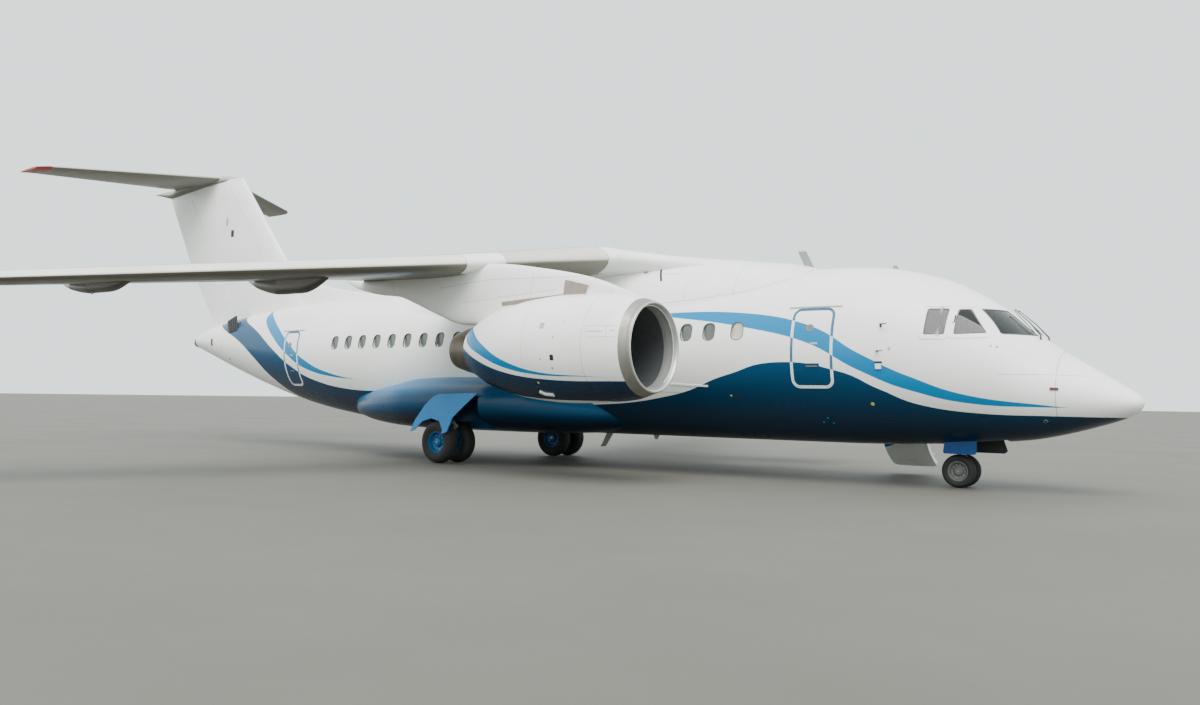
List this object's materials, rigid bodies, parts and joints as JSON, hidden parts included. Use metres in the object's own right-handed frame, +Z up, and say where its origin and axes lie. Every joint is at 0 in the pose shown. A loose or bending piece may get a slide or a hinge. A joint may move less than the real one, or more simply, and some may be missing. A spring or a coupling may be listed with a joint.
{
  "type": "twin-turbofan regional airliner",
  "caption": "High-wing T-tail regional jet airliner on its landing gear, with underwing fan engines, working control surfaces, flaps, slats, steering and an open airstair door.",
  "frame": {"origin": "on the ground, under the middle of the length and on the centre plane", "axes": "+X to the nose, +Y to port, +Z up"},
  "size_m": [29.13, 28.91, 8.19],
  "materials": {
    "white_paint": "gloss polyurethane",
    "navy_paint": "gloss polyurethane",
    "grey_paint": "satin polyurethane",
    "sky_paint": "gloss polyurethane",
    "bare_aluminium": "polished",
    "exhaust_steel": "heat stained",
    "fan_titanium": "satin",
    "gear_enamel": "satin enamel",
    "tyre": "matt",
    "cockpit_trim": "matt",
    "seat_fabric": "woven",
    "cockpit_glass": "clear"
  },
  "bodies": {
    "airframe": {"radome": "white_paint", "fuselage_nose": "white_paint", "fuselage_centre": "white_paint", "fuselage_aft": "white_paint", "front_service_door": "white_paint", "rear_service_door": "white_paint", "rear_passenger_door": "white_paint", "wing_fairing": "white_paint", "pylon_right": "white_paint", "pylon_left": "white_paint", "cowl_right": "white_paint", "cowl_left": "white_paint", "fin": "white_paint", "tailplane": "white_paint", "belly_fairing": "navy_paint", "nose_door_right": "navy_paint", "nose_door_left": "navy_paint", "wing_right": "grey_paint", "wing_left": "grey_paint", "tail_cone": "grey_paint", "leg_door_right": "sky_paint", "leg_door_left": "sky_paint", "intake_lip_right": "bare_aluminium", "intake_lip_left": "bare_aluminium", "nozzle_right": "exhaust_steel", "nozzle_left": "exhaust_steel", "engine_core_right": "exhaust_steel", "engine_core_left": "exhaust_steel", "main_leg_right": "gear_enamel", "main_leg_left": "gear_enamel", "nose_leg": "gear_enamel", "instrument_panel": "cockpit_trim", "pilot_seats": "seat_fabric", "cockpit_glazing": "cockpit_glass"},
    "airstair": {"airstair_door": "navy_paint"},
    "nose_steering": {"nose_leg_steered": "gear_enamel"},
    "nose_wheels": {"nose_hubs": "gear_enamel", "nose_tyre_right": "tyre", "nose_tyre_left": "tyre"},
    "main_wheels_right": {"main_hubs_right": "sky_paint", "main_tyre_outer_right": "tyre", "main_tyre_inner_right": "tyre"},
    "fan_right": {"fan_right": "fan_titanium"},
    "elevator_right": {"elevator_right": "white_paint"},
    "aileron_right": {"aileron_right": "grey_paint"},
    "flap_inboard_right": {"flap_inboard_right": "grey_paint"},
    "flap_outboard_right": {"flap_outboard_right": "grey_paint"},
    "slat_inboard_right": {"slat_inboard_right": "grey_paint"},
    "slat_outboard_right": {"slat_outboard_right": "grey_paint"},
    "main_wheels_left": {"main_hubs_left": "sky_paint", "main_tyre_outer_left": "tyre", "main_tyre_inner_left": "tyre"},
    "fan_left": {"fan_left": "fan_titanium"},
    "elevator_left": {"elevator_left": "white_paint"},
    "aileron_left": {"aileron_left": "grey_paint"},
    "flap_inboard_left": {"flap_inboard_left": "grey_paint"},
    "flap_outboard_left": {"flap_outboard_left": "grey_paint"},
    "slat_inboard_left": {"slat_inboard_left": "grey_paint"},
    "slat_outboard_left": {"slat_outboard_left": "grey_paint"},
    "rudder": {"rudder": "white_paint"}
  },
  "joints": [
    {"name": "airstair_hinge", "type": "hinge", "parent": "airframe", "child": "airstair", "pos_m": [9.95, 1.512, 1.64], "axis": [1, 0, 0], "range_deg": [0, 150]},
    {"name": "nose_steer", "type": "hinge", "parent": "airframe", "child": "nose_steering", "pos_m": [11.64, 0, 0.64], "axis": [0, 0, 1], "range_deg": [-50, 50]},
    {"name": "nose_wheel_spin", "type": "hinge", "parent": "nose_steering", "child": "nose_wheels", "pos_m": [11.64, 0, 0.295], "axis": [0, 1, 0], "continuous": true},
    {"name": "main_wheel_spin_right", "type": "hinge", "parent": "airframe", "child": "main_wheels_right", "pos_m": [0.977, -2.04, 0.465], "axis": [0, 1, 0], "continuous": true},
    {"name": "main_wheel_spin_left", "type": "hinge", "parent": "airframe", "child": "main_wheels_left", "pos_m": [0.977, 2.04, 0.465], "axis": [0, 1, 0], "continuous": true},
    {"name": "fan_spin_right", "type": "hinge", "parent": "airframe", "child": "fan_right", "pos_m": [6.71, -4, 2.375], "axis": [1, 0, 0], "continuous": true},
    {"name": "fan_spin_left", "type": "hinge", "parent": "airframe", "child": "fan_left", "pos_m": [6.71, 4, 2.375], "axis": [1, 0, 0], "continuous": true},
    {"name": "rudder_hinge", "type": "hinge", "parent": "airframe", "child": "rudder", "pos_m": [-10.10296, 0, 4.27], "axis": [-0.5604, 0, 0.8282], "range_deg": [-25, 25]},
    {"name": "elevator_hinge_right", "type": "hinge", "parent": "airframe", "child": "elevator_right", "pos_m": [-12.60805, -0.52, 8.00614], "axis": [-0.3449, -0.9384, -0.0219], "range_deg": [-25, 15]},
    {"name": "elevator_hinge_left", "type": "hinge", "parent": "airframe", "child": "elevator_left", "pos_m": [-12.60805, 0.52, 8.00614], "axis": [0.3449, -0.9384, 0.0219], "range_deg": [-25, 15]},
    {"name": "aileron_hinge_right", "type": "hinge", "parent": "airframe", "child": "aileron_right", "pos_m": [-1.0589, -10.44, 3.32434], "axis": [-0.3699, -0.9239, -0.0981], "range_deg": [-22, 22]},
    {"name": "aileron_hinge_left", "type": "hinge", "parent": "airframe", "child": "aileron_left", "pos_m": [-1.0589, 10.44, 3.32434], "axis": [0.3699, -0.9239, 0.0981], "range_deg": [-22, 22]},
    {"name": "flap_inboard_hinge_right", "type": "hinge", "parent": "airframe", "child": "flap_inboard_right", "pos_m": [1.63895, -1.98, 3.78134], "axis": [-0.1467, -0.9852, -0.0885], "range_deg": [0, 35]},
    {"name": "flap_inboard_hinge_left", "type": "hinge", "parent": "airframe", "child": "flap_inboard_left", "pos_m": [1.63895, 1.98, 3.78134], "axis": [0.1467, -0.9852, 0.0885], "range_deg": [0, 35]},
    {"name": "flap_outboard_hinge_right", "type": "hinge", "parent": "airframe", "child": "flap_outboard_right", "pos_m": [1.18293, -4.96, 3.5814], "axis": [-0.3721, -0.925, -0.077], "range_deg": [0, 35]},
    {"name": "flap_outboard_hinge_left", "type": "hinge", "parent": "airframe", "child": "flap_outboard_left", "pos_m": [1.18293, 4.96, 3.5814], "axis": [0.3721, -0.925, 0.077], "range_deg": [0, 35]},
    {"name": "slat_inboard_track_right", "type": "hinge", "parent": "airframe", "child": "slat_inboard_right", "pos_m": [4.53837, -1.46574, 3.73887], "axis": [0.4181, 0.9027, 0.1016], "range_deg": [0, 18]},
    {"name": "slat_inboard_track_left", "type": "hinge", "parent": "airframe", "child": "slat_inboard_left", "pos_m": [4.53837, 1.46574, 3.73887], "axis": [-0.4181, 0.9027, -0.1016], "range_deg": [0, 18]},
    {"name": "slat_outboard_track_right", "type": "hinge", "parent": "airframe", "child": "slat_outboard_right", "pos_m": [3.27937, -4.18375, 3.43303], "axis": [0.4491, 0.8879, 0.1001], "range_deg": [0, 18]},
    {"name": "slat_outboard_track_left", "type": "hinge", "parent": "airframe", "child": "slat_outboard_left", "pos_m": [3.27937, 4.18375, 3.43303], "axis": [-0.4491, 0.8879, -0.1001], "range_deg": [0, 18]}
  ],
  "couplings": [
    {"joint": "elevator_hinge_left", "follows": "elevator_hinge_right", "ratio": 1},
    {"joint": "aileron_hinge_left", "follows": "aileron_hinge_right", "ratio": -1},
    {"joint": "flap_inboard_hinge_left", "follows": "flap_inboard_hinge_right", "ratio": 1},
    {"joint": "flap_outboard_hinge_right", "follows": "flap_inboard_hinge_right", "ratio": 1},
    {"joint": "flap_outboard_hinge_left", "follows": "flap_inboard_hinge_right", "ratio": 1},
    {"joint": "slat_inboard_track_left", "follows": "slat_inboard_track_right", "ratio": 1},
    {"joint": "slat_outboard_track_right", "follows": "slat_inboard_track_right", "ratio": 1},
    {"joint": "slat_outboard_track_left", "follows": "slat_inboard_track_right", "ratio": 1}
  ]
}
